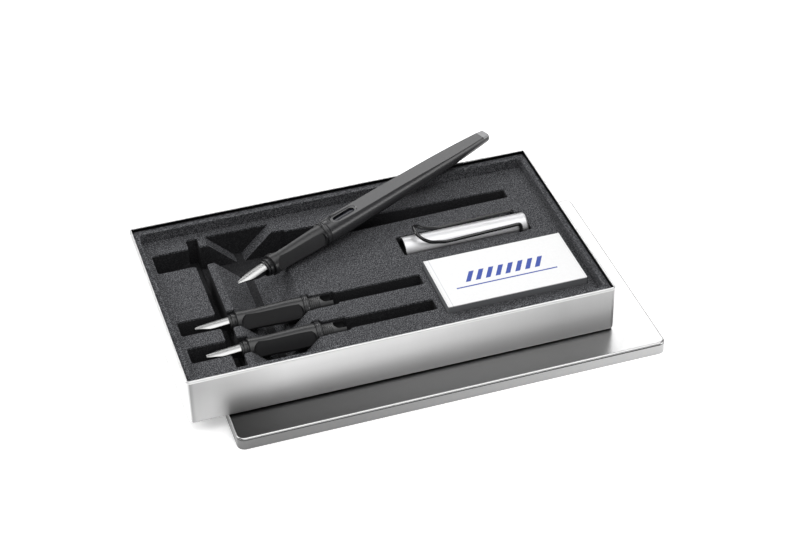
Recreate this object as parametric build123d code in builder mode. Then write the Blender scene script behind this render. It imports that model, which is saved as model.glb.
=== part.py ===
from build123d import *
import os
from math import cos, radians, sin

# A calligraphy set in a tin case, in millimetres, with +Z up and X along the case.
# The lid lies on the table with its closed face up, the tray stands on it, and a flocked
# insert in the tray holds a pen, two spare nib sections, a cap and a carton of cartridges.
# The origin is on the table, in the middle of the whole set's footprint.
# Places on the case are measured from the tray's outer front left corner and from its underside.

# The tray's corner, so that the origin is the middle of the whole footprint
CASE_X = -122.7
CASE_Y = -63.77

# Lid: a pressed tin whose footprint runs from and to (x, x, y, y)
LID_FOOTPRINT = (19.5, 245.4, -17.9, 114.7)
LID_HEIGHT = 7.0
LID_CORNER = 4.0
LID_EDGE = 1.2
SHEET = 0.45

# Tray
TRAY_LENGTH = 224.0
TRAY_WIDTH = 131.5
TRAY_HEIGHT = 27.4
TRAY_CORNER = 2.6
TRAY_EDGE = 2.15
RIM_WIDTH = 1.55
RIM_HEIGHT = 1.5
RIM_PROUD = 0.25
RIM_EDGE = 0.7

# Insert: footprints are (from x, to x, from y, to y)
INSERT_GAP = 1.7
INSERT_BASE = 0.6
INSERT_CORNER = 2.0
INSERT_EDGE = 1.9
BORDER_TOP = 25.5
BORDER_INNER = (4.3, 219.3, 5.5, 126.3)
BORDER_CORNER = 2.5
DECK_TOP = 19.6
POCKET_CORNER = 1.2
CHANNEL = (27.9, 34.0, 10.0, 121.9)
CHANNEL_FLOOR = 3.0
GROOVE = (38.0, 73.3, 10.0, 121.7)
CAP_POCKET = (134.0, 205.4, 70.7, 87.5)
CAP_FLOOR = 9.7
CLIP_NOTCH = (3.8, 18.4)
CARTON_POCKET = (139.4, 215.8, 17.4, 58.6)
CARTON_FLOOR = 13.1

# Pen row in plan, wide at the nib's end and tapering to the barrel's tail
PEN_ROW = ((7.9, 97.8), (80, 97.8), (80, 99), (203.5, 101.8),
           (203.5, 109.7), (80, 112.5), (80, 114), (7.9, 114))
PEN_FLOOR = 4.1

# Steps of a spare row: from x, to x, and its reach in front of and behind the section's axis
SPARE_STEPS = ((7.9, 38.0, 5.9, 6.1), (34.0, 77.0, 6.8, 6.8),
               (76.0, 89.6, 6.4, 4.8), (88.5, 136.1, 5.2, 3.5))
SPARE_FLOORS = (10.1, 9.3)

# Where the front of each section's axis is, how the pen turns and climbs, and how far its
# section is screwed round past its barrel, in degrees
SPARE_TIPS = ((15.5, 49.9, 16.65), (16.1, 28.2, 15.85))
PEN_TIP = (43.5, 69.6, 24.25)
PEN_TURN = 24.36
PEN_CLIMB = 3.0
PEN_ROLL = 10.0

# Grip: profile points are the distance back from the axis' front, and the radius
GRIP_COLLAR = ((17.8, 4.1), (18.2, 4.4), (18.8, 4.4), (18.8, 3.9), (19.3, 3.9), (19.3, 4.7),
               (21.0, 4.7), (21.0, 4.25), (21.6, 4.25), (21.6, 5.35), (21.9, 5.75))
GRIP_WAIST = ((24.0, 5.7), (28.0, 5.5), (40.0, 5.7), (56.3, 6.0))
GRIP_BACK = (56.9, 5.6)
GRIP_MOUTH = (25.0, 3.65)

# Facets: the middle's distance along the grip and out from its axis, and how each leans
FACET_MIDDLE = (40.1, 4.3)
FACET_TURN = 65.0
FACET_TILT = 2.2
FACET_SLOT = (30.6, 10.6)
FACET_TAPER = -30
GRIP_CUT = 3.2

# Ring behind the grip, with a groove round its middle
RING_PROFILE = ((57.0, 4.45), (57.0, 5.95), (57.25, 6.25), (57.6, 6.35), (58.0, 6.25), (58.15, 6.0),
                (58.3, 6.25), (58.7, 6.35), (59.05, 6.2), (59.2, 5.95), (59.2, 4.45))

# Connector: a threaded tube whose rear end is slotted from above into two tongues
CONNECTOR_START = 50.0
CONNECTOR_END = 72.1
CONNECTOR_RADIUS = 4.4
CONNECTOR_BORE = 3.85
THREAD_START = 60.0
THREAD_TURNS = 5
THREAD_DEPTH = 0.22
YOKE_START = 65.8
YOKE_WIDTH = 5.7

# Feed: side outlines of its fin and of the shelf under the nib, and its rod
FEED_FIN = ((5.0, 3.5), (5.0, 0.9), (8.5, -0.6), (13.0, -2.3), (17.8, -2.7), (24.8, -2.7), (24.8, 3.5))
FEED_SHELF = ((9.5, 0.6), (24.8, 0.7), (24.8, 2.4), (9.5, 2.4))
FIN_HALF_WIDTH = 1.8
SHELF_HALF_WIDTH = 2.45
ROD_START = 24.8
ROD_END = 46.0
ROD_RADIUS = 3.25
SLIP = 0.03

# Nib: a curved sheet whose centre of curvature lies below the axis; where it leaves the grip
# it starts to slope down towards its tip
NIB_TIP = 0.4
NIB_BEND = 17.8
NIB_SLOPE = 5.9
NIB_BACK = 24.4
NIB_CURVE = 4.0
NIB_CENTRE = -0.6
NIB_SHEET = 0.35
NIB_SHOULDER = ((7.6, 2.45), (9.5, 2.6))
SLIT = (11.0, 0.12)
POINTED_NIB = 0.55
BLUNT_NIB = 1.0

# Barrel: its side is a gentle curve, and so are the two flats, which start behind a round
# front, draw closer towards the tail and drop faster over its last few millimetres
BARREL_FRONT = ((59.35, 6.05), (59.65, 6.35))
BARREL_SIDE = ((85.0, 6.32), (112.0, 5.93), (150.0, 5.07), (177.1, 3.5))
BARREL_END = (177.8, 2.9)
FLAT_FRONT = (60.6, 6.6)
FLAT_CURVE = ((66.0, 5.4), (74.0, 4.95), (92.0, 4.7), (120.0, 4.2), (150.0, 3.25), (172.7, 2.45))
FLAT_END = (178.7, 1.9)
FLAT_CUT = 7.5
BARREL_BORE = ((58.0, 4.48), (74.0, 4.48), (74.5, 4.0), (116.5, 4.0), (119.0, 2.5))
WINDOW_MIDDLE = 72.8
WINDOW_RECESS = (16.8, 5.0, 4.55)
WINDOW_BEVEL = -50
WINDOW_SLOT = (14.0, 4.0, 3.0)

# Cartridge: profile from its narrow neck
CARTRIDGE_RADIUS = 3.72
NECK_RADIUS = 2.3
NECK_LENGTH = 6.5
PEN_CARTRIDGE = (50.2, 65.5)
CARTON_CARTRIDGE = (0.0, 72.6)
CARTRIDGE_PITCH = 7.5

# Cap: distances run from its open end
CAP_MOUTH = (135.6, 79.1, 16.8)
CAP_LENGTH = 69.0
CAP_RADIUS = 6.75
CAP_WALL = 0.6
CAP_END_ROUND = 0.9
LINER_BORE = 5.35
LINER_LIP = (0.2, 6.4)
LINER_PROFILE = ((58.0, 3.6), (58.0, 0.0), (56.6, 0.0), (55.5, 3.0), (30.0, LINER_BORE))

# Clip: one half of its wire, as distance along the cap, out to the side and above the axis
CLIP_PIVOT = 64.1
CLIP_WIRE = ((CLIP_PIVOT, 5.5, 0), (CLIP_PIVOT, 8.2, 0), (CLIP_PIVOT, 6.3, 6.1), (22.0, 6.4, 4.65),
             (13.4, 6.5, 6.5), (6.8, 6.3, 10.9))
CLIP_BENDS = (1.0, 1.6, 14.0, 10.0, 5.2)
CLIP_RADIUS = 0.92
CLIP_SLIP = 0.08

# Carton: footprint (from x, to x, from y, to y)
CARTON = (139.9, 215.3, 17.9, 58.1)
CARTON_BASE = 13.4
CARTON_TOP = 23.4
CARTON_CORNER = 0.5
BOARD = 0.7
PANEL = 0.5
PANEL_GAP = 0.1
TUCK_DEPTH = 4.5
TUCK_INSET = (1.2, 0.45)


def at_level(height):
    """A plane of the case, at a height above the tray's underside."""
    return Plane(origin=(CASE_X, CASE_Y, LID_HEIGHT + height))


def block(footprint, corner=0.0, grow=0.0):
    """A rectangle over a footprint, in the sketch that is open."""
    x0, x1, y0, y1 = footprint
    with Locations(((x0 + x1) / 2, (y0 + y1) / 2)):
        if corner:
            RectangleRounded(x1 - x0 + 2 * grow, y1 - y0 + 2 * grow, corner)
        else:
            Rectangle(x1 - x0 + 2 * grow, y1 - y0 + 2 * grow)


def axis_frame(tip, turn=0.0, climb=0.0, roll=0.0):
    """A frame at a section's front: X runs back along its axis, and Z is its upper side."""
    turn, climb, roll = (radians(angle) for angle in (turn, climb, roll))
    along = Vector(cos(climb) * cos(turn), cos(climb) * sin(turn), sin(climb))
    upward = Vector(-sin(climb) * cos(turn), -sin(climb) * sin(turn), cos(climb))
    frontward = along.cross(upward)
    origin = (CASE_X + tip[0], CASE_Y + tip[1], LID_HEIGHT + tip[2])
    return Plane(origin=origin, x_dir=along, z_dir=upward * cos(roll) + frontward * sin(roll))


def across(frame, distance):
    """The plane across an axis: its X is the section's side and its Y the upper side."""
    origin = frame.from_local_coords((distance, 0, 0))
    return Plane(origin=origin, x_dir=frame.y_dir, z_dir=frame.x_dir)


def upright(frame):
    """The plane down the middle of a section: X along it and Y its upper side."""
    return Plane(origin=frame.origin, x_dir=frame.x_dir, z_dir=-frame.y_dir)


def finish(piece, name):
    """Label a piece and write its file."""
    piece.part.label = name
    export_step(piece.part, f"parts/{name}.step")


os.makedirs("parts", exist_ok=True)


# ---- Lid: a shallow pressed tin, open underneath ----
with BuildPart() as lid_shell:
    with BuildSketch(at_level(-LID_HEIGHT)):
        block(LID_FOOTPRINT, LID_CORNER)
    extrude(amount=LID_HEIGHT)
    fillet(lid_shell.faces().sort_by(Axis.Z)[-1].edges(), LID_EDGE)
    offset(amount=-SHEET, openings=lid_shell.faces().sort_by(Axis.Z)[0])
finish(lid_shell, "lid_shell")


# ---- Tray: a deeper tin with a rolled rim that stands proud of its walls ----
TRAY_FOOTPRINT = (0, TRAY_LENGTH, 0, TRAY_WIDTH)
with BuildPart() as tray_shell:
    with BuildSketch(at_level(0)):
        block(TRAY_FOOTPRINT, TRAY_CORNER - RIM_PROUD, -RIM_PROUD)
    extrude(amount=TRAY_HEIGHT - RIM_HEIGHT / 2)
    fillet(tray_shell.faces().sort_by(Axis.Z)[0].edges(), TRAY_EDGE)
    offset(amount=-SHEET, openings=tray_shell.faces().sort_by(Axis.Z)[-1])
    with BuildSketch(at_level(TRAY_HEIGHT - RIM_HEIGHT)):
        block(TRAY_FOOTPRINT, TRAY_CORNER)
        offset(amount=-RIM_WIDTH, mode=Mode.SUBTRACT)
    extrude(amount=RIM_HEIGHT)
    fillet(tray_shell.faces().sort_by(Axis.Z)[-1].edges(), RIM_EDGE)
finish(tray_shell, "tray_shell")


# ---- Insert: a block with a sunk deck, and pockets cut down from the deck ----
def spare_row(axis_y):
    """The plan of one spare section's pocket: nib end, grip, and a narrow far end."""
    for start, end, front, back in SPARE_STEPS:
        block((start, end, axis_y - front, axis_y + back))


def soften(radius):
    """Round every corner of the open sketch: grow it, shrink it twice as far, grow it back."""
    offset(amount=radius, mode=Mode.REPLACE)
    offset(amount=-2 * radius, mode=Mode.REPLACE)
    offset(amount=radius, mode=Mode.REPLACE)


with BuildPart() as foam_insert:
    with BuildSketch(at_level(INSERT_BASE)):
        block(TRAY_FOOTPRINT, INSERT_CORNER, -INSERT_GAP)
    extrude(amount=BORDER_TOP - INSERT_BASE)
    fillet(foam_insert.faces().sort_by(Axis.Z)[0].edges(), INSERT_EDGE)
    with BuildSketch(at_level(DECK_TOP)):
        block(BORDER_INNER, BORDER_CORNER)
    extrude(amount=BORDER_TOP - DECK_TOP, mode=Mode.SUBTRACT)
    # every row and the lift channel, rounded in plan, down to the shallower spare floor
    with BuildSketch(at_level(SPARE_FLOORS[0])):
        Polygon(*PEN_ROW, align=None)
        block(CHANNEL)
        for spare_tip in SPARE_TIPS:
            spare_row(spare_tip[1])
        soften(POCKET_CORNER)
    extrude(amount=DECK_TOP - SPARE_FLOORS[0], mode=Mode.SUBTRACT)
    # the front spare row is a little deeper
    with BuildSketch(at_level(SPARE_FLOORS[1])):
        spare_row(SPARE_TIPS[1][1])
        soften(POCKET_CORNER)
    extrude(amount=DECK_TOP - SPARE_FLOORS[1], mode=Mode.SUBTRACT)
    # the pen's row and the lift channel go on down
    with BuildSketch(at_level(PEN_FLOOR)):
        Polygon(*PEN_ROW, align=None)
        soften(POCKET_CORNER)
    extrude(amount=DECK_TOP - PEN_FLOOR, mode=Mode.SUBTRACT)
    with BuildSketch(at_level(CHANNEL_FLOOR)):
        block(CHANNEL, POCKET_CORNER)
    extrude(amount=DECK_TOP - CHANNEL_FLOOR, mode=Mode.SUBTRACT)
    # the finger hollow: a wide groove across all rows, its sides sloping at 45 degrees
    groove_left, groove_right, groove_front, groove_back = GROOVE
    groove_depth = DECK_TOP - PEN_FLOOR
    groove_end = (CASE_X, CASE_Y + groove_back, LID_HEIGHT)
    with BuildSketch(Plane(origin=groove_end, x_dir=(1, 0, 0), z_dir=(0, -1, 0))):
        with BuildLine():
            Polyline((groove_left, DECK_TOP), (groove_left + groove_depth, PEN_FLOOR),
                     (groove_right - groove_depth, PEN_FLOOR), (groove_right, DECK_TOP), close=True)
        make_face()
    extrude(amount=groove_back - groove_front, mode=Mode.SUBTRACT)
    with BuildSketch(at_level(CAP_FLOOR)):
        block(CAP_POCKET, POCKET_CORNER)
        with Locations((CAP_MOUTH[0] + CLIP_PIVOT, CAP_MOUTH[1])):
            Rectangle(*CLIP_NOTCH)
    extrude(amount=DECK_TOP - CAP_FLOOR, mode=Mode.SUBTRACT)
    with BuildSketch(at_level(CARTON_FLOOR)):
        block(CARTON_POCKET, POCKET_CORNER)
    extrude(amount=DECK_TOP - CARTON_FLOOR, mode=Mode.SUBTRACT)
finish(foam_insert, "foam_insert")


# ---- Nib section: grip, ring, threaded connector, feed and nib ----
def make_grip(name, frame):
    """A round grip with a waist, two long facets beside its top, and a stepped collar."""
    front = GRIP_COLLAR[0][0]
    back = RING_PROFILE[0][0]
    with BuildPart() as grip:
        with BuildSketch(frame):
            with BuildLine():
                collar = Polyline((front, 0), *GRIP_COLLAR)
                side = Spline(collar @ 1, *GRIP_WAIST)
                Polyline(side @ 1, GRIP_BACK, (GRIP_BACK[0], 0), collar @ 0)
            make_face()
        revolve(axis=Axis(frame.origin, frame.x_dir))
        facet_place, facet_distance = FACET_MIDDLE
        tilt = radians(FACET_TILT)
        for turn in (-FACET_TURN, FACET_TURN):
            outward = frame.z_dir * cos(radians(turn)) + frame.y_dir * sin(radians(turn))
            middle = frame.from_local_coords((facet_place, 0, 0)) + outward * facet_distance
            normal = outward * cos(tilt) - frame.x_dir * sin(tilt)
            with BuildSketch(Plane(origin=middle, x_dir=outward.cross(frame.x_dir), z_dir=normal)):
                SlotOverall(*FACET_SLOT, rotation=90)
            extrude(amount=GRIP_CUT, taper=FACET_TAPER, mode=Mode.SUBTRACT)
        # the mouth round the nib, the bore round the feed's rod, and the socket behind it
        for start, end, radius in ((front, *GRIP_MOUTH), (front, CONNECTOR_START, ROD_RADIUS + SLIP),
                                   (CONNECTOR_START - SLIP, back, CONNECTOR_RADIUS + SLIP)):
            with BuildSketch(across(frame, start)):
                Circle(radius)
            extrude(amount=end - start, mode=Mode.SUBTRACT)
    finish(grip, name)


def make_ring(name, frame):
    """The trim ring behind the grip."""
    with BuildPart() as ring:
        with BuildSketch(frame):
            with BuildLine():
                Polyline(*RING_PROFILE, close=True)
            make_face()
        revolve(axis=Axis(frame.origin, frame.x_dir))
    finish(ring, name)


def make_connector(name, frame):
    """A tube with a few thread ridges, and a slot down through its rear end."""
    ridges = []
    for turn in range(THREAD_TURNS):
        start = THREAD_START + turn
        root = CONNECTOR_RADIUS - THREAD_DEPTH
        ridges += [(start, root), (start + 0.25, CONNECTOR_RADIUS),
                   (start + 0.6, CONNECTOR_RADIUS), (start + 0.85, root)]
    with BuildPart() as connector:
        with BuildSketch(frame):
            with BuildLine():
                Polyline((CONNECTOR_START, CONNECTOR_BORE), (CONNECTOR_START, CONNECTOR_RADIUS),
                         (THREAD_START - 0.4, CONNECTOR_RADIUS), *ridges,
                         (THREAD_START + THREAD_TURNS + 0.2, CONNECTOR_RADIUS),
                         (CONNECTOR_END, CONNECTOR_RADIUS), (CONNECTOR_END, CONNECTOR_BORE), close=True)
            make_face()
        revolve(axis=Axis(frame.origin, frame.x_dir))
        slot_length = 3 * (CONNECTOR_END - YOKE_START)
        with BuildSketch(frame):
            with Locations((YOKE_START + slot_length / 2, 0)):
                SlotOverall(slot_length, YOKE_WIDTH)
        extrude(amount=CONNECTOR_RADIUS, both=True, mode=Mode.SUBTRACT)
    finish(connector, name)


def nib_curve(frame, radius):
    """A solid bar that follows the nib: straight inside the grip, then sloping to the tip."""
    slope = radians(NIB_SLOPE)
    with BuildPart() as bar:
        with BuildSketch(across(frame, NIB_BEND)) as section:
            with Locations((0, NIB_CENTRE)):
                Circle(radius)
        extrude(amount=ROD_START - NIB_BEND)
        extrude(section.sketch, amount=NIB_BEND / cos(slope),
                dir=frame.x_dir * -cos(slope) - frame.z_dir * sin(slope))
    return bar.part


def make_feed(name, frame):
    """The feed: a fin and a shelf under the nib, and a rod that runs back inside the grip."""
    under_nib = nib_curve(frame, NIB_CURVE - NIB_SHEET - SLIP)
    with BuildPart() as feed:
        for outline, half_width in ((FEED_FIN, FIN_HALF_WIDTH), (FEED_SHELF, SHELF_HALF_WIDTH)):
            with BuildSketch(upright(frame)):
                with BuildLine():
                    Polyline(*outline, close=True)
                make_face()
            extrude(amount=half_width, both=True)
        # its upper side follows the nib's curve
        add(under_nib, mode=Mode.INTERSECT)
        with BuildSketch(across(frame, ROD_START)):
            Circle(ROD_RADIUS)
        extrude(amount=ROD_END - ROD_START)
    finish(feed, name)


def make_nib(name, frame, tip_half_width):
    """A curved steel sheet, cut to the nib's outline and slit down its middle."""
    shoulder, side = NIB_SHOULDER
    outer_bar = nib_curve(frame, NIB_CURVE)
    inner_bar = nib_curve(frame, NIB_CURVE - NIB_SHEET)
    with BuildPart() as nib:
        add(outer_bar)
        add(inner_bar, mode=Mode.SUBTRACT)
        with BuildSketch(frame):
            with BuildLine():
                Polyline((NIB_TIP, tip_half_width), shoulder, side, (NIB_BACK, side[1]),
                         (NIB_BACK, -side[1]), (side[0], -side[1]), (shoulder[0], -shoulder[1]),
                         (NIB_TIP, -tip_half_width), close=True)
            make_face()
            with Locations((SLIT[0] / 2, 0)):
                Rectangle(*SLIT, mode=Mode.SUBTRACT)
        extrude(amount=NIB_CURVE, mode=Mode.INTERSECT)
    finish(nib, name)


def make_section(prefix, frame, tip_half_width):
    """All five pieces of one nib section."""
    make_grip(f"{prefix}_grip", frame)
    make_ring(f"{prefix}_ring", frame)
    make_connector(f"{prefix}_connector", frame)
    make_feed(f"{prefix}_feed", frame)
    make_nib(f"{prefix}_nib", frame, tip_half_width)


make_section("pen", axis_frame(PEN_TIP, PEN_TURN, PEN_CLIMB, PEN_ROLL), POINTED_NIB)
make_section("spare_a", axis_frame(SPARE_TIPS[0]), POINTED_NIB)
make_section("spare_b", axis_frame(SPARE_TIPS[1]), BLUNT_NIB)


# ---- Barrel: a long taper, flattened above and below, with an ink window in each flat ----
pen_frame = axis_frame(PEN_TIP, PEN_TURN, PEN_CLIMB)
pen_axis = Axis(pen_frame.origin, pen_frame.x_dir)
with BuildPart() as pen_barrel:
    with BuildSketch(pen_frame):
        with BuildLine():
            front = Polyline((BARREL_FRONT[0][0], 0), *BARREL_FRONT)
            side_line = Spline(front @ 1, *BARREL_SIDE)
            Polyline(side_line @ 1, BARREL_END, (BARREL_END[0], 0), front @ 0)
        make_face()
    revolve(axis=pen_axis)
    for side in (1, -1):
        # the flat, cut by its outline from the side
        with BuildSketch(upright(pen_frame)):
            with BuildLine():
                flat_line = Spline(*((x, y * side) for x, y in (FLAT_FRONT, *FLAT_CURVE)))
                Polyline(flat_line @ 1, (FLAT_END[0], FLAT_END[1] * side),
                         (FLAT_END[0], FLAT_CUT * side), (FLAT_FRONT[0], FLAT_CUT * side), flat_line @ 0)
            make_face()
        extrude(amount=FLAT_CUT, both=True, mode=Mode.SUBTRACT)
        # the window: a shallow bevelled recess round a slot that goes through to the bore
        length, width, height = WINDOW_RECESS
        with BuildSketch(pen_frame.offset(height * side)):
            with Locations((WINDOW_MIDDLE, 0)):
                SlotOverall(length, width)
        extrude(amount=1.5 * side, taper=WINDOW_BEVEL, mode=Mode.SUBTRACT)
        length, width, height = WINDOW_SLOT
        with BuildSketch(pen_frame.offset(height * side)):
            with Locations((WINDOW_MIDDLE, 0)):
                SlotOverall(length, width)
        extrude(amount=4.0 * side, mode=Mode.SUBTRACT)
    with BuildSketch(pen_frame):
        with BuildLine():
            Polyline((BARREL_BORE[0][0], 0), *BARREL_BORE, (BARREL_BORE[-1][0], 0), close=True)
        make_face()
    revolve(axis=pen_axis, mode=Mode.SUBTRACT)
finish(pen_barrel, "pen_barrel")


# ---- Cartridges: one in the pen, five in the carton ----
def make_cartridge(name, frame, start, length):
    """A closed tube with a narrow neck at its front."""
    end = start + length
    with BuildPart() as cartridge:
        with BuildSketch(frame):
            with BuildLine():
                Polyline((start, 0), (start, NECK_RADIUS), (start + NECK_LENGTH, NECK_RADIUS),
                         (start + NECK_LENGTH + 2.5, CARTRIDGE_RADIUS), (end - 1.0, CARTRIDGE_RADIUS),
                         (end, CARTRIDGE_RADIUS - 0.9), (end, 0), close=True)
            make_face()
        revolve(axis=Axis(frame.origin, frame.x_dir))
    finish(cartridge, name)


carton_left, carton_right, carton_front, carton_back = CARTON
make_cartridge("pen_cartridge", pen_frame, *PEN_CARTRIDGE)
for number in range(5):
    cartridge_y = carton_back - BOARD - PANEL_GAP - CARTRIDGE_RADIUS - number * CARTRIDGE_PITCH
    cartridge_z = CARTON_BASE + BOARD + CARTRIDGE_RADIUS + SLIP
    row_frame = axis_frame((carton_left + BOARD + PANEL, cartridge_y, cartridge_z))
    make_cartridge(f"cartridge_{number + 1}", row_frame, *CARTON_CARTRIDGE)


# ---- Cap: an aluminium tube with a plastic liner and a bent wire clip ----
cap_frame = axis_frame(CAP_MOUTH)
cap_axis = Axis(cap_frame.origin, cap_frame.x_dir)
with BuildPart() as cap_tube:
    with BuildSketch(cap_frame):
        with BuildLine():
            Polyline((LINER_LIP[0], CAP_RADIUS - CAP_WALL), (LINER_LIP[0], CAP_RADIUS),
                     (CAP_LENGTH - CAP_END_ROUND, CAP_RADIUS), (CAP_LENGTH - 0.3, CAP_RADIUS - 0.25),
                     (CAP_LENGTH, CAP_RADIUS - CAP_END_ROUND), (CAP_LENGTH, 0),
                     (CAP_LENGTH - 2 * CAP_WALL, 0), (CAP_LENGTH - 2 * CAP_WALL, CAP_RADIUS - CAP_WALL),
                     close=True)
        make_face()
    revolve(axis=cap_axis)
    with BuildSketch(upright(cap_frame)):
        with Locations((CLIP_PIVOT, 0)):
            Circle(CLIP_RADIUS + CLIP_SLIP)
    extrude(amount=CAP_RADIUS, both=True, mode=Mode.SUBTRACT)
finish(cap_tube, "cap_tube")

liner_radius = CAP_RADIUS - CAP_WALL - SLIP
with BuildPart() as cap_liner:
    with BuildSketch(cap_frame):
        with BuildLine():
            Polyline((0, LINER_BORE), (0, LINER_LIP[1]), LINER_LIP, (LINER_LIP[0], liner_radius),
                     (56.0, liner_radius), *LINER_PROFILE, close=True)
        make_face()
    revolve(axis=cap_axis)
finish(cap_liner, "cap_liner")

clip_points = [cap_frame.from_local_coords(point) for point in CLIP_WIRE]
clip_points += [cap_frame.from_local_coords((x, -y, z)) for x, y, z in reversed(CLIP_WIRE)]
with BuildPart() as cap_clip:
    with BuildLine() as clip_line:
        FilletPolyline(*clip_points, radius=[*CLIP_BENDS, *reversed(CLIP_BENDS)])
    with BuildSketch(Plane(origin=clip_line.line @ 0, z_dir=clip_line.line % 0)):
        Circle(CLIP_RADIUS)
    sweep()
finish(cap_clip, "cap_clip")


# ---- Carton: a board box whose top is hinged along the back and tucks in at the front ----
inner_left = carton_left + BOARD
inner_right = carton_right - BOARD
with BuildPart() as carton_body:
    with BuildSketch(at_level(CARTON_BASE)):
        block(CARTON, CARTON_CORNER)
    extrude(amount=CARTON_TOP - CARTON_BASE)
    with BuildSketch(at_level(CARTON_BASE + BOARD)):
        block(CARTON, grow=-BOARD)
    extrude(amount=CARTON_TOP - CARTON_BASE, mode=Mode.SUBTRACT)
    with BuildSketch(at_level(CARTON_TOP - PANEL - PANEL_GAP)):
        block((inner_left, inner_right, carton_front - 1, carton_back + 1))
    extrude(amount=PANEL + PANEL_GAP, mode=Mode.SUBTRACT)
finish(carton_body, "carton_body")

tuck_front = carton_front + BOARD + TUCK_INSET[1]
with BuildPart() as carton_lid:
    with BuildSketch(at_level(CARTON_TOP - PANEL)):
        block((inner_left + PANEL_GAP, inner_right - PANEL_GAP, carton_front, carton_back - 2 * PANEL_GAP))
    extrude(amount=PANEL)
    with BuildSketch(at_level(CARTON_TOP - PANEL - TUCK_DEPTH)):
        block((inner_left + TUCK_INSET[0], inner_right - TUCK_INSET[0], tuck_front, tuck_front + PANEL))
    extrude(amount=TUCK_DEPTH)
finish(carton_lid, "carton_lid")
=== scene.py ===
# %% [markdown]
# # A calligraphy set in its tin
#
# The set is an open tin tray that stands on its own lid, which lies with its closed face up. A
# flocked insert in the tray holds two spare nib sections, a cap and a carton of cartridges, and
# a pen leans across it.
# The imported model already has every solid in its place, so this lesson is about looks: it sets
# the camera and the studio, and then works through the finishes one material at a time. Where
# a solid is too crisp or too plain to be the real thing, a new surface takes its place or is
# added to it.

# %% Load the model
from math import cos, pi, radians, sin

import bmesh
import bpy
import numpy as np
from mathutils import Matrix, Quaternion, Vector


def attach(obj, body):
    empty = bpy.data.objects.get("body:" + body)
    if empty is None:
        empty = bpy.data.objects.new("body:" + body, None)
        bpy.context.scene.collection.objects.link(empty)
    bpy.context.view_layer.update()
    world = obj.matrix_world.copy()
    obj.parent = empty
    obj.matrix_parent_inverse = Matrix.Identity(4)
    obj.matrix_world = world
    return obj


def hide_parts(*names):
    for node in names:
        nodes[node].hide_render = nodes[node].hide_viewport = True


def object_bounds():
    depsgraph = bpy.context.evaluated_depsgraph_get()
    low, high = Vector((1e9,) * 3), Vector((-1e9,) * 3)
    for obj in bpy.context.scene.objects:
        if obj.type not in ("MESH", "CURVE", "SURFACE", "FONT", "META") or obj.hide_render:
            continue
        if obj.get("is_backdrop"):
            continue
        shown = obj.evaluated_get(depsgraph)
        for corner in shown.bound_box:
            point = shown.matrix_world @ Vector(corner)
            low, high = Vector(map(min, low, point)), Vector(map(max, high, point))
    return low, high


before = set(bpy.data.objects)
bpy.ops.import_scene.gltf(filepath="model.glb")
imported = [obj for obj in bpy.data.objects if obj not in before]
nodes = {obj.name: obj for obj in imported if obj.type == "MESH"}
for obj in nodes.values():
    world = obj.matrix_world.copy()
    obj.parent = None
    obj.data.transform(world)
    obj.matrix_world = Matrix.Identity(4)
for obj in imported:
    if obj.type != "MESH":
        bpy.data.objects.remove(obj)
cad_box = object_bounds()
print("box of the solids, mm:", [[round(1000 * c, 1) for c in corner] for corner in cad_box])

# %% [markdown]
# ## The camera
#
# The set is seen from the front left and well above, with a long lens, so that its sides are
# nearly parallel in the picture. A camera could be turned by eye until it fits, but then every
# later comparison would be a guess. Here its turn is one rotation about one axis, which was
# found by matching the corners of the tray and the lid with the picture, and so were its
# distance and its focal length. The corner of the tray's foot is the point that all later
# places are measured from.

# %% Camera
TRAY_CORNER = Vector((-0.1227, -0.06377, 0.0070))
FIT_UNIT = 0.00112  # metres in one unit of the match with the picture
VIEW_TURN = Vector((2.20995317, -0.361470162, 0.154190521))
VIEW_SHIFT = Vector((-91.5016722, 66.0351715, 875.101914)) * FIT_UNIT
FOCAL_PIXELS = 2006.81352
PICTURE_WIDTH = 800
SENSOR_WIDTH = 36  # mm
FARTHEST = 20  # metres, beyond which the camera sees nothing

from_camera = Quaternion(VIEW_TURN.normalized(), VIEW_TURN.length).to_matrix().transposed()
camera_data = bpy.data.cameras.new("camera")
camera_data.sensor_width = SENSOR_WIDTH
camera_data.lens = SENSOR_WIDTH * FOCAL_PIXELS / PICTURE_WIDTH
camera_data.clip_end = FARTHEST
camera = bpy.data.objects.new("camera", camera_data)
bpy.context.scene.collection.objects.link(camera)
camera.matrix_world = Matrix.Translation(TRAY_CORNER - from_camera @ VIEW_SHIFT) @ (
    from_camera @ Matrix.Diagonal((1, -1, -1))).to_4x4()
bpy.context.scene.camera = camera
print("camera at", [round(c, 3) for c in camera.matrix_world.translation],
      "lens", round(camera_data.lens, 2))

# %% [markdown]
# ## The studio
#
# Tin and polished plastic show what stands around them more than their own colour. Small strong
# lamps would leave hard spots in them, so the studio is a white table in a dim room, with six
# large soft lamps: one overhead, one behind the set on the right, which whitens that end of the
# lid, one behind the set, which level faces such as the top of the barrel mirror to the camera,
# one that lights the table on the left for the tray's end to mirror, a weak one in front, and a
# low one on the right that the lower side of the barrel mirrors.

# %% Floor and sky
FLOOR_REACH = 6.0
SKY_STRENGTH = 0.07

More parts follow.
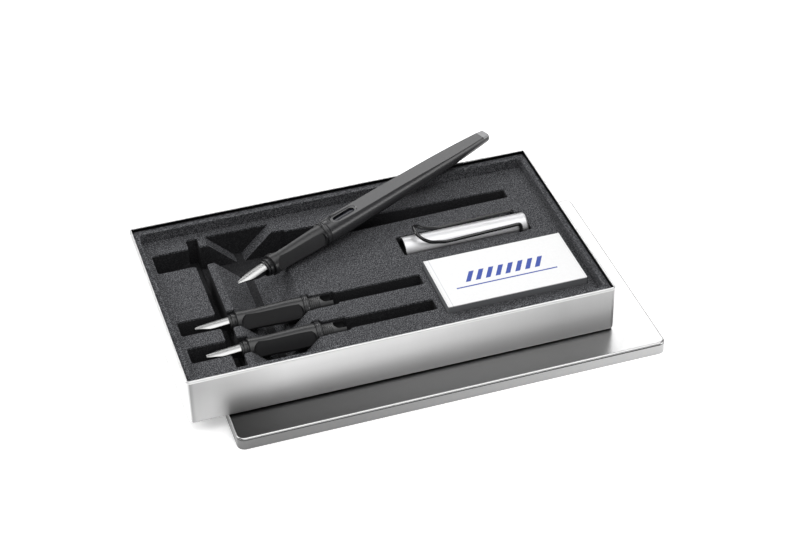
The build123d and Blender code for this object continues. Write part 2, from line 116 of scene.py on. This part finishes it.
corners = [(-FLOOR_REACH, -FLOOR_REACH, 0), (FLOOR_REACH, -FLOOR_REACH, 0),
           (FLOOR_REACH, FLOOR_REACH, 0), (-FLOOR_REACH, FLOOR_REACH, 0)]
floor_data = bpy.data.meshes.new("floor")
floor_data.from_pydata(corners, [], [(0, 1, 2, 3)])
floor = bpy.data.objects.new("floor", floor_data)
bpy.context.scene.collection.objects.link(floor)
floor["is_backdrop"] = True

sky = bpy.data.worlds.new("sky")
bpy.context.scene.world = sky
sky.use_nodes = True
background = sky.node_tree.nodes["Background"]
background.inputs["Color"].default_value = (1.0, 1.0, 1.0, 1)
background.inputs["Strength"].default_value = SKY_STRENGTH
bpy.context.scene.view_settings.view_transform = "Standard"
print("floor reaches", FLOOR_REACH, "m from the middle, and the sky's strength is", SKY_STRENGTH)

# %% Lamps
LAMPS = (  # name, place, the point it faces, width and height, watts
    ("top_lamp", (0, -0.25, 1.5), (0, -0.25, 0), (2.0, 1.4), 22),
    ("right_lamp", (1.15, 1.05, 0.95), (0.05, 0, 0), (1.0, 1.0), 3),
    ("back_lamp", (0.38, 1.2, 0.95), (0.03, 0, 0.03), (1.2, 0.55), 6),
    ("left_lamp", (-1.0, 0.7, 0.8), (-0.45, 0.25, 0), (0.6, 0.6), 11),
    ("front_lamp", (0, -1.3, 1.0), (0, 0, 0), (1.4, 1.2), 5),
    ("side_lamp", (1.35, -0.8, 0.2), (0, 0, 0.05), (1.0, 0.5), 6))

for name, place, aim, size, power in LAMPS:
    data = bpy.data.lights.new(name, "AREA")
    data.shape = "RECTANGLE"
    data.size, data.size_y = size
    data.energy = power
    lamp = bpy.data.objects.new(name, data)
    lamp.location = place
    lamp.rotation_euler = (Vector(aim) - Vector(place)).to_track_quat("-Z", "Y").to_euler()
    bpy.context.scene.collection.objects.link(lamp)
    print(name, "at", place, "watts", power)

# %% [markdown]
# ## How a finish is made
#
# A finish could be a picture that is wrapped round the piece, but then every solid would need a
# map of its skin. So every finish here starts from one Principled shader. What is the same all
# over the surface, such as its metal or its sheen, is set on the shader itself. What varies,
# such as grain, is painted by noise that is read in the object's own coordinates, so that it
# stays put when a piece moves.


# %% Materials and nodes
def new_finish(name, colour, roughness, metal=0.0, **settings):
    """A material whose shader has its plain values; returns it, its nodes and its shader."""
    material = bpy.data.materials.new(name)
    material.use_nodes = True
    tree = material.node_tree
    shader = tree.nodes["Principled BSDF"]
    shader.inputs["Base Color"].default_value = (*colour, 1)
    shader.inputs["Roughness"].default_value = roughness
    shader.inputs["Metallic"].default_value = metal
    for key, value in settings.items():
        shader.inputs[key.replace("_", " ")].default_value = value
    return material, tree, shader


def add_node(tree, kind, inputs=(), **settings):
    """One node, with its settings, and with its inputs set to numbers or joined to sockets."""
    node = tree.nodes.new(kind)
    for key, value in settings.items():
        setattr(node, key, value)
    for key, value in dict(inputs).items():
        if isinstance(value, bpy.types.NodeSocket):
            tree.links.new(value, node.inputs[key])
        else:
            node.inputs[key].default_value = value
    return node


def dress(material, *names):
    """Gives CAD nodes a material, on every slot that they have."""
    for name in names:
        for slot in nodes[name].material_slots:
            slot.material = material
    print(material.name, "on", ", ".join(names))


# %% Noise, ramps and relief
def place_on(tree):
    """The object's own coordinates, in metres."""
    return add_node(tree, "ShaderNodeTexCoord").outputs["Object"]


def stretched(tree, scale):
    """The object's own coordinates times a scale; along a small one, a pattern is drawn out."""
    return add_node(tree, "ShaderNodeMapping",
                    {"Vector": place_on(tree), "Scale": scale}).outputs["Vector"]


def noise(tree, place, grain, detail=2.0, rough=0.5):
    """Noise between 0 and 1 whose blots are about one grain across, a grain given in metres."""
    return add_node(tree, "ShaderNodeTexNoise", {"Vector": place, "Scale": 1 / grain,
                                                 "Detail": detail, "Roughness": rough}).outputs["Fac"]


def ramp(tree, factor, *stops):
    """A colour ramp over a factor; each stop is its place and its colour or grey."""
    node = add_node(tree, "ShaderNodeValToRGB", {"Fac": factor})
    while len(node.color_ramp.elements) < len(stops):
        node.color_ramp.elements.new(1.0)
    for element, (position, colour) in zip(node.color_ramp.elements, stops):
        element.position = position
        element.color = (*colour, 1) if isinstance(colour, tuple) else (colour, colour, colour, 1)
    return node.outputs["Color"]


def grained(tree, grain, low, high):
    """A ramp between two colours or greys over nearly the whole swing of a noise."""
    return ramp(tree, grain, (0.3, low), (0.7, high))


def bump(tree, shader, height, depth, strength=1.0):
    """Joins a height to the shader's normal; depth is the height of its relief in metres."""
    node = add_node(tree, "ShaderNodeBump", {"Height": height, "Distance": depth, "Strength": strength})
    tree.links.new(node.outputs["Normal"], shader.inputs["Normal"])


# %% Sums, bounds and mixtures
def maths(tree, operation, first, second=0.0):
    """One sum of two numbers or sockets."""
    return add_node(tree, "ShaderNodeMath", {0: first, 1: second}, operation=operation).outputs[0]


def vector_maths(tree, operation, first, second, output="Vector"):
    """One sum of two vectors or colours, taken part by part."""
    return add_node(tree, "ShaderNodeVectorMath", {0: first, 1: second},
                    operation=operation).outputs[output]


def parts(tree, vector):
    """The X, Y and Z parts of a vector."""
    return add_node(tree, "ShaderNodeSeparateXYZ", {"Vector": vector}).outputs


def share(tree, value, start, length):
    """How far a value has come from a start, as a share of a length."""
    return maths(tree, "DIVIDE", maths(tree, "SUBTRACT", value, start), length)


def within(tree, value, bounds):
    """1 where a value lies between two bounds, and 0 elsewhere."""
    low, high = bounds
    above = maths(tree, "GREATER_THAN", value, low)
    return maths(tree, "MULTIPLY", above, maths(tree, "LESS_THAN", value, high))


def both(tree, first, second):
    """1 where two masks are both 1."""
    return maths(tree, "MULTIPLY", first, second)


def mixed(tree, factor, first, second):
    """The first colour where the factor is 0, and the second where it is 1."""
    node = add_node(tree, "ShaderNodeMix", data_type="RGBA")
    tree.links.new(factor, node.inputs["Factor"])
    for socket, colour in ((node.inputs[6], first), (node.inputs[7], second)):
        if isinstance(colour, tuple):
            socket.default_value = (*colour, 1)
        else:
            tree.links.new(colour, socket)
    return node.outputs[2]


# %% [markdown]
# ## Tin
#
# The tray and the lid are pressed from tin plate with a satin finish. It is a metal that mirrors
# softly: rough enough to blur, and smooth enough for the lid to show in the tray's wall. A faint
# grain runs up the walls, so its noise is drawn out along Z. A painted highlight lies on the
# tray's rolled rim and on the lid's upper bend, fine lines of painted shade run below that bend
# and where the tray meets the lid, and the tray is painted black inside. These lines could be
# pieces of their own, but they follow heights, so masks of height paint them.
#
# Real tin also gets its tone from what it mirrors in a whole room. This studio is simpler, so
# the tin also has a painted reflection: a slow change of shade from end to end, which on the
# tray runs from foot to rim too, and which is stronger on the top of the lid.

# %% Tin finish
TIN_GREY = (0.56, 0.56, 0.56)
# colours for a painted highlight line and a painted shade line
PAINTED_HIGHLIGHT_LINE = (0.62, 0.62, 0.62)
PAINTED_SHADE_LINE = (0.06, 0.06, 0.06)
# the black that is painted on the tray's inside
INSIDE_BLACK = (0.015, 0.015, 0.016)
TIN_GRAIN = 0.0020
TIN_STRETCH = (1, 1, 0.1)
TIN_UNEVEN = 0.02
FOOT = TRAY_CORNER.z
WALL_HEIGHT = 0.0274
LID_TOP_SKIN = (FOOT - 0.00015, FOOT + 0.0001)


def tin_finish(name, roughness, ends, painted_reflection, painted_highlight, painted_shade, painted_rise=None, top=None, inside_bounds=None):
    """Satin tin with a painted reflection from end to end, and a painted highlight line and a
    painted shade line at given heights.

    The painted reflection is a ramp over (x - left end) / length, times a ramp over the height
    above the foot where one is given, and times a ramp over the length on the lid's top where one
    is given.
    """
    material, tree, shader = new_finish(name, TIN_GREY, roughness, 1.0)
    grain = noise(tree, stretched(tree, TIN_STRETCH), TIN_GRAIN)
    uneven = grained(tree, grain, roughness - TIN_UNEVEN, roughness + TIN_UNEVEN)
    tree.links.new(uneven, shader.inputs["Roughness"])
    x, y, height = parts(tree, place_on(tree))
    along = share(tree, x, ends[0], ends[1] - ends[0])
    # painted reflection: lighter and darker along the length, from foot to rim, and on the lid's top
    colour = ramp(tree, along, *painted_reflection)
    if painted_rise:
        painted_rising = ramp(tree, share(tree, height, FOOT, WALL_HEIGHT), *painted_rise)
        colour = vector_maths(tree, "MULTIPLY", colour, painted_rising)
    if top:
        darker = vector_maths(tree, "MULTIPLY", colour, ramp(tree, along, *top))
        colour = mixed(tree, within(tree, height, LID_TOP_SKIN), colour, darker)
    # the painted highlight line, then the painted shade line
    colour = mixed(tree, within(tree, height, painted_highlight), colour, PAINTED_HIGHLIGHT_LINE)
    colour = mixed(tree, within(tree, height, painted_shade), colour, PAINTED_SHADE_LINE)
    # the tray's inside is painted black
    if inside_bounds:
        across, deep, above = inside_bounds
        inside = both(tree, within(tree, x, across), within(tree, y, deep))
        inside = both(tree, inside, maths(tree, "GREATER_THAN", height, above))
        colour = mixed(tree, inside, colour, INSIDE_BLACK)
    tree.links.new(colour, shader.inputs["Base Color"])
    return material


def ends_of(node):
    """The lowest and the highest X of a CAD node, from two opposite corners of its box."""
    return [nodes[node].bound_box[corner][0] for corner in (0, 6)]


# %% The tray and the lid
# painted highlight on the tray's rim bead, and painted shade at its foot where it meets the lid
RIM_BEAD = (FOOT + 0.0261, FOOT + 0.0280)
FOOT_PAINTED_SHADE = (FOOT - 0.0001, FOOT + 0.0008)
INSIDE_BOUNDS = ((TRAY_CORNER.x + 0.0012, TRAY_CORNER.x + 0.2228),
          (TRAY_CORNER.y + 0.0012, TRAY_CORNER.y + 0.1303), FOOT + 0.001)
# painted reflection along the tray, with a thin painted dark line at its left corner
TRAY_PAINTED_REFLECTION = ((0.003, 0.90), (0.008, 0.28), (0.016, 0.42), (0.10, 0.54), (0.22, 0.82),
               (0.50, 0.76), (0.87, 0.50))
TRAY_PAINTED_RISE = ((0.0, 1.0), (0.45, 0.90), (0.75, 0.80))
tray_tin = tin_finish("tray_tin", 0.40, ends_of("tray_shell"), TRAY_PAINTED_REFLECTION, RIM_BEAD, FOOT_PAINTED_SHADE,
                      painted_rise=TRAY_PAINTED_RISE, inside_bounds=INSIDE_BOUNDS)
dress(tray_tin, "tray_shell")

# painted highlight on the lid's upper bend, and painted shade just below it
LID_BEND = (FOOT - 0.0008, FOOT - 0.00015)
LID_PAINTED_SHADE = (FOOT - 0.0014, FOOT - 0.0008)
# painted reflection along the lid, darker again on the left of its top
LID_PAINTED_REFLECTION = ((0.0, 0.17), (0.35, 0.24), (0.7, 0.36), (0.95, 0.46))
LID_TOP_PAINTED_REFLECTION = ((0.0, 0.45), (0.35, 0.75), (0.7, 0.92), (0.95, 1.0))
lid_tin = tin_finish("lid_tin", 0.30, ends_of("lid_shell"), LID_PAINTED_REFLECTION, LID_BEND, LID_PAINTED_SHADE,
                     top=LID_TOP_PAINTED_REFLECTION)
dress(lid_tin, "lid_shell")
print("tray and lid run from", ends_of("tray_shell"), ends_of("lid_shell"))

# %% [markdown]
# ## Plastics
#
# The barrel is a dark satin plastic, the grips are darker, and the connectors are duller. A
# moulded skin is never quite flat. Modelling that would take millions of faces, so a noise with
# a relief of a hundredth of a millimetre stands for it. The small slanted facet at the
# barrel's tail catches more light than the rest. It is the part that lies past a plane and
# above a height, so a mask of these two paints it lighter.


# %% Barrel
FAINT_RELIEF = 0.00001  # metres


def moulded(name, colour, roughness, grain, relief=FAINT_RELIEF, detail=2.0, **settings):
    """A plastic of one colour whose skin has a faint relief; returns what new_finish does."""
    material, tree, shader = new_finish(name, colour, roughness, **settings)
    bump(tree, shader, noise(tree, place_on(tree), grain, detail), relief)
    return material, tree, shader


BARREL_GREY = (0.032, 0.032, 0.034)
# painted highlight on the slanted facet at the barrel's tail
TAIL_PAINTED_HIGHLIGHT = (0.22, 0.22, 0.225)
TAIL_FACET = TRAY_CORNER + Vector((0.20116, 0.14098, 0.03332))  # a point of the facet's plane
TAIL_OUTWARD = (0.9097, 0.4119, 0.0523)  # the way that this plane faces
TAIL_LEVEL = 0.0015  # metres above that point

barrel_plastic, tree, shader = moulded("barrel_plastic", BARREL_GREY, 0.27, 0.0004)
outward = vector_maths(tree, "SUBTRACT", place_on(tree), TAIL_FACET)
past_plane = maths(tree, "GREATER_THAN",
                   vector_maths(tree, "DOT_PRODUCT", outward, TAIL_OUTWARD, "Value"), 0.0)
above_level = maths(tree, "GREATER_THAN", parts(tree, outward)["Z"], TAIL_LEVEL)
lit_facet = both(tree, past_plane, above_level)
tree.links.new(mixed(tree, lit_facet, BARREL_GREY, TAIL_PAINTED_HIGHLIGHT), shader.inputs["Base Color"])
dress(barrel_plastic, "pen_barrel", "pen_ring", "spare_a_ring", "spare_b_ring")

# %% Other plastics
grip_plastic, *_ = moulded("grip_plastic", (0.018, 0.018, 0.019), 0.33, 0.0003, 0.00002, 3.0)
dress(grip_plastic, "pen_grip", "spare_a_grip", "spare_b_grip")

connector_plastic, *_ = moulded("connector_plastic", (0.028, 0.028, 0.029), 0.36, 0.0005)
dress(connector_plastic, "pen_connector", "spare_a_connector", "spare_b_connector")

black_plastic, *_ = moulded("black_plastic", (0.010, 0.010, 0.011), 0.36, 0.0005)
dress(black_plastic, "pen_feed", "spare_a_feed", "spare_b_feed", "cap_liner")

cartridge_plastic, *_ = moulded("cartridge_plastic", (0.004, 0.005, 0.011), 0.3, 0.001)
dress(cartridge_plastic, "pen_cartridge", *(f"cartridge_{number}" for number in range(1, 6)))

# %% [markdown]
# ## Metals
#
# The nibs are steel and the cap is satin aluminium, and both are brushed. Scratches could be
# modelled, but a noise that is drawn out along X, roughly the length of all four pieces, makes
# the same streaks when it moves the roughness a little. The clip is a wire under black lacquer,
# so it is made as a plastic is, with a thin clear coat over it.


# %% Metal finishes
def brushed(name, colour, stretch, grain, smooth_end, rough_end):
    """A metal whose roughness has streaks along X; the smaller the stretch, the longer they are."""
    material, tree, shader = new_finish(name, colour, smooth_end, 1.0)
    streaks = noise(tree, stretched(tree, (stretch, 1, 1)), grain, 3.0, 0.6)
    tree.links.new(grained(tree, streaks, smooth_end, rough_end), shader.inputs["Roughness"])
    return material


nib_steel = brushed("nib_steel", (0.46, 0.46, 0.457), 0.12, 0.0006, 0.38, 0.42)
dress(nib_steel, "pen_nib", "spare_a_nib", "spare_b_nib")

cap_metal = brushed("cap_metal", (0.62, 0.62, 0.63), 0.05, 0.0010, 0.44, 0.50)
dress(cap_metal, "cap_tube")

clip_lacquer, *_ = moulded("clip_lacquer", (0.006, 0.006, 0.007), 0.26, 0.002, Coat_Weight=0.2)
dress(clip_lacquer, "cap_clip")

# %% [markdown]
# ## The carton
#
# The carton is folded from printed board: white on top and grey on its sides. Its top has a
# plain pattern of our own, a row of slanted pen strokes over a thin rule. A crease runs along
# its left end, where a grey line of painted shade marks it, and the board's faint grain shows in
# the white. The print could be a picture or thin pieces laid on the board. Masks of place are
# sharper than the one and can't flicker like the other, and they ride with the carton's top when
# it opens.

# %% Carton finish
CARTON_CORNER = (TRAY_CORNER.x + 0.1399, TRAY_CORNER.y + 0.0179, TRAY_CORNER.z + 0.0234)
WHITE_INK = (0.76, 0.76, 0.762)
WORN_WHITE = tuple(0.97 * c for c in WHITE_INK)
EDGE_GREY = (0.20, 0.205, 0.215)
# painted shade along the crease
CREASE_PAINTED_SHADE = (0.56, 0.57, 0.59)
BLUE_INK = (0.014, 0.050, 0.31)
TOP_SKIN = (-0.00045, 0.01)  # the bounds of the white, measured up from the carton's top
CREASE = (0.0024, 0.0028)  # from here on, metres from the carton's corner along X or Y
RULE_ALONG, RULE_ACROSS = (0.0090, 0.0640), (0.0125, 0.0134)
STROKES_ALONG, STROKES_ACROSS = (0.0054, 0.0486), (0.0165, 0.0245)
STROKE_PITCH = 0.0054
STROKE_SLANT = -0.55
STROKE_SHARE = (0.12, 0.62)  # the part of each pitch that is inked


def printed(tree, x, y, white):
    """The white with strokes, a rule and the crease's painted shade; a stroke is a band of x + slant * y."""
    slanted = maths(tree, "ADD", x, maths(tree, "MULTIPLY", y, STROKE_SLANT))
    phase = maths(tree, "FRACT", maths(tree, "DIVIDE", slanted, STROKE_PITCH))
    strokes = both(tree, within(tree, phase, STROKE_SHARE), within(tree, y, STROKES_ACROSS))
    strokes = both(tree, strokes, within(tree, slanted, STROKES_ALONG))
    rule = both(tree, within(tree, y, RULE_ACROSS), within(tree, x, RULE_ALONG))
    inked = mixed(tree, maths(tree, "MAXIMUM", strokes, rule), white, BLUE_INK)
    return mixed(tree, within(tree, x, CREASE), inked, CREASE_PAINTED_SHADE)


def carton_finish(name, print_on_top):
    """Grey board that is white at its top, with the print if it is the printed panel."""
    material, tree, shader = new_finish(name, WHITE_INK, 0.5)
    place = place_on(tree)
    x, y, z = parts(tree, vector_maths(tree, "SUBTRACT", place, CARTON_CORNER))
    fibres = noise(tree, place, 0.0015, 4.0)
    white = grained(tree, fibres, WORN_WHITE, WHITE_INK)
    if print_on_top:
        white = printed(tree, x, y, white)
    colour = mixed(tree, within(tree, z, TOP_SKIN), EDGE_GREY, white)
    tree.links.new(colour, shader.inputs["Base Color"])
    bump(tree, shader, fibres, FAINT_RELIEF)
    return material


dress(carton_finish("carton_board", False), "carton_body")
dress(carton_finish("carton_print", True), "carton_lid")

# %% [markdown]
# ## The flocked insert
#
# The insert is foam covered with flock: very short fibres that stand on end. They could be grown
# as hair, but there would be millions of them, each finer than a pixel. Flock rounds off every
# edge a little and catches the light in countless bright specks. So a merged copy of the solid
# takes its place, its edges are rounded, and its colour and relief come from fine noise.
# Below the deck, the fibres on the pockets' walls and floors stand in their own shade, so the
# flock there is made nearly black.


# %% Copying and rounding a solid
TOUCHING = 1e-6  # metres between points that are sewn into one
FLAT_ANGLE, SHARP_ANGLE = radians(0.5), radians(35)


def merged_copy(name, node):
    """A copy of a CAD node's mesh whose loose triangles are sewn together and then joined flat."""
    mesh = nodes[node].data.copy()
    mesh.name = name
    mesh.materials.clear()
    sewing = bmesh.new()
    sewing.from_mesh(mesh)
    bmesh.ops.remove_doubles(sewing, verts=sewing.verts, dist=TOUCHING)
    bmesh.ops.dissolve_limit(sewing, angle_limit=FLAT_ANGLE, verts=sewing.verts, edges=sewing.edges)
    sewing.to_mesh(mesh)
    sewing.free()
    piece = bpy.data.objects.new(name, mesh)
    bpy.context.scene.collection.objects.link(piece)
    print(name, "faces", len(mesh.polygons))
    return piece


def round_edges(piece, width, segments):
    """A live Bevel that rounds every sharp edge, and keeps the normals of the faces between."""
    bevel = piece.modifiers.new("round_edges", "BEVEL")
    bevel.width = width
    bevel.segments = segments
    bevel.limit_method = "ANGLE"
    bevel.angle_limit = SHARP_ANGLE
    bevel.harden_normals = True


def smooth(piece):
    """Shades a piece smooth, whatever its faces."""
    piece.data.polygons.foreach_set("use_smooth", np.ones(len(piece.data.polygons), bool))


# %% Flock finish
DECK_TOP = FOOT + 0.0196
BELOW_DECK = 0.001  # how far under the deck's top the shade begins
SPECK_GRAIN = 0.00052
SPECK_RELIEF = 0.0002
SPECK_SHADES = ((0.38, (0.012, 0.012, 0.014)), (0.50, (0.040, 0.041, 0.045)),
                (0.63, (0.15, 0.152, 0.16)))
UPRIGHT = ((0.30, 1.0), (0.60, 0.0))  # a face counts as a wall while it faces up by less
LEVEL = 0.9  # a face counts as a floor while it faces up by more
POCKET_BLACK = (0.008, 0.008, 0.009)
POCKET_SHADE = 0.85  # how much of the pocket's black covers the specks

flock, tree, shader = new_finish("flock", (0.03, 0.03, 0.032), 0.9, Specular_IOR_Level=0.25)
speck = noise(tree, place_on(tree), SPECK_GRAIN, 2.0, 0.6)
facing = parts(tree, add_node(tree, "ShaderNodeTexCoord").outputs["Normal"])["Z"]
upright_wall = ramp(tree, facing, *UPRIGHT)
level_floor = maths(tree, "GREATER_THAN", facing, LEVEL)
low = maths(tree, "LESS_THAN", parts(tree, place_on(tree))["Z"], DECK_TOP - BELOW_DECK)
in_pocket = both(tree, maths(tree, "MAXIMUM", upright_wall, level_floor), low)
in_pocket = maths(tree, "MULTIPLY", in_pocket, POCKET_SHADE)
colour = mixed(tree, in_pocket, ramp(tree, speck, *SPECK_SHADES), POCKET_BLACK)
tree.links.new(colour, shader.inputs["Base Color"])
bump(tree, shader, speck, SPECK_RELIEF, 0.5)
print("flock is shaded below", round(1000 * (DECK_TOP - BELOW_DECK), 1), "mm")

# %% The insert itself
ROUNDING = 0.0006
insert = merged_copy("flocked_insert", "foam_insert")
round_edges(insert, ROUNDING, 3)
insert.data.materials.append(flock)
smooth(insert)
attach(insert, "insert")
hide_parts("foam_insert")

# %% [markdown]
# ## Collars and dark grooves
#
# In front of each grip sits the glossy black collar that holds the nib, and the ring behind it
# lies between dark grooves. Both are turned shapes. They could be spun from a curve, but then
# their faces might point inwards, so each is worked out as an array: a profile of distances and
# radii is carried round the section's axis, and its faces are turned outwards at the end. The
# spare sections lie level, and the pen turns and climbs.

# %% Profiles
SECTIONS = {  # where the nib's tip is from the tray's corner, and the turn and climb in degrees
    "pen": ((0.0435, 0.0696, 0.02425), 24.36, 3.0),
    "spare_a": ((0.0155, 0.0499, 0.01665), 0.0, 0.0),
    "spare_b": ((0.0161, 0.0282, 0.01585), 0.0, 0.0)}
COLLAR = (  # distance from the tip and radius, mm
    (17.75, 3.75), (17.77, 4.12), (17.9, 4.28), (18.2, 4.44), (18.75, 4.44), (18.82, 4.36),
    (18.84, 3.93), (19.26, 3.93), (19.28, 4.62), (19.4, 4.74), (20.9, 4.74), (21.02, 4.66),
    (21.04, 4.28), (21.5, 4.28), (21.5, 3.75))
GROOVES = (
    ((56.70, 4.5), (56.70, 6.06), (57.24, 6.12), (57.24, 4.5)),
    ((57.98, 4.5), (57.98, 6.24), (58.32, 6.24), (58.32, 4.5)),
    ((58.98, 4.5), (58.98, 6.10), (59.30, 6.10), (59.30, 4.5)))
AROUND = 72
print("points in a collar:", AROUND * len(COLLAR))


# %% Turned surfaces
def turned(name, profiles, section, material):
    """Each profile point (s, r) goes round the section's axis.

    The point at angle a is tip + s * along + r * (cos a * side + sin a * up). The last
    profile point joins the first, so every profile makes one closed ring.
    """
    tip, turn, climb = SECTIONS[section]
    turn, climb = radians(turn), radians(climb)
    along = np.array((cos(climb) * cos(turn), cos(climb) * sin(turn), sin(climb)))
    up = np.array((-sin(climb) * cos(turn), -sin(climb) * sin(turn), cos(climb)))
    side = np.cross(up, along)
    origin = np.array(TRAY_CORNER) + np.array(tip)
    angles = np.linspace(0, 2 * pi, AROUND, endpoint=False)
    spoke = np.outer(np.cos(angles), side) + np.outer(np.sin(angles), up)
    points, quads = [], []
    for profile in profiles:
        reach, radius = np.array(profile).T / 1000
        count = len(profile)
        first = sum(len(block) for block in points)
        ring = origin + reach[None, :, None] * along + radius[None, :, None] * spoke[:, None, :]
        points.append(ring.reshape(-1, 3))
        row, column = np.meshgrid(np.arange(AROUND), np.arange(count), indexing="ij")
        row_start, next_start = row * count, (row + 1) % AROUND * count
        beside = (column + 1) % count
        quad = (row_start + column, row_start + beside, next_start + beside, next_start + column)
        quads.append(np.stack(quad, -1).reshape(-1, 4) + first)
    return new_piece(name, np.concatenate(points), np.concatenate(quads), material)


def new_piece(name, points, quads, material):
    """A smooth-shaded mesh from arrays of points and quads, its faces turned outwards."""
    mesh = bpy.data.meshes.new(name)
    mesh.from_pydata(points.tolist(), [], quads.tolist())
    turning = bmesh.new()
    turning.from_mesh(mesh)
    bmesh.ops.recalc_face_normals(turning, faces=turning.faces)
    turning.to_mesh(mesh)
    turning.free()
    mesh.materials.append(material)
    piece = bpy.data.objects.new(name, mesh)
    bpy.context.scene.collection.objects.link(piece)
    smooth(piece)
    mesh.set_sharp_from_angle(angle=SHARP_ANGLE)
    print(name, "points", len(points), "quads", len(quads))
    return piece


# %% Collars and grooves
for section in SECTIONS:
    for piece in (turned(section + "_collar", (COLLAR,), section, black_plastic),
                  turned(section + "_ring_grooves", GROOVES, section, black_plastic)):
        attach(piece, section)

# %% [markdown]
# ## The light table
#
# The set stands on a white table that the tin mirrors all round. Stronger lamps would whiten it,
# but they would light the pieces too, so the table has a glow of its own instead.

# %% Table finish
light_table, *_ = moulded("light_table", (0.93, 0.93, 0.93), 0.6, 0.004,
                          Emission_Color=(1, 1, 1, 1), Emission_Strength=0.40)
floor_data.materials.append(light_table)
print(light_table.name, "on", floor.name)

# %% [markdown]
# ## The sizes
#
# The dressed set should fill the same room as its solids.

# %% Sizes, and the end
size = {"solids": [list(corner) for corner in cad_box], "dressed": [list(corner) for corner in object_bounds()]}
print(size)
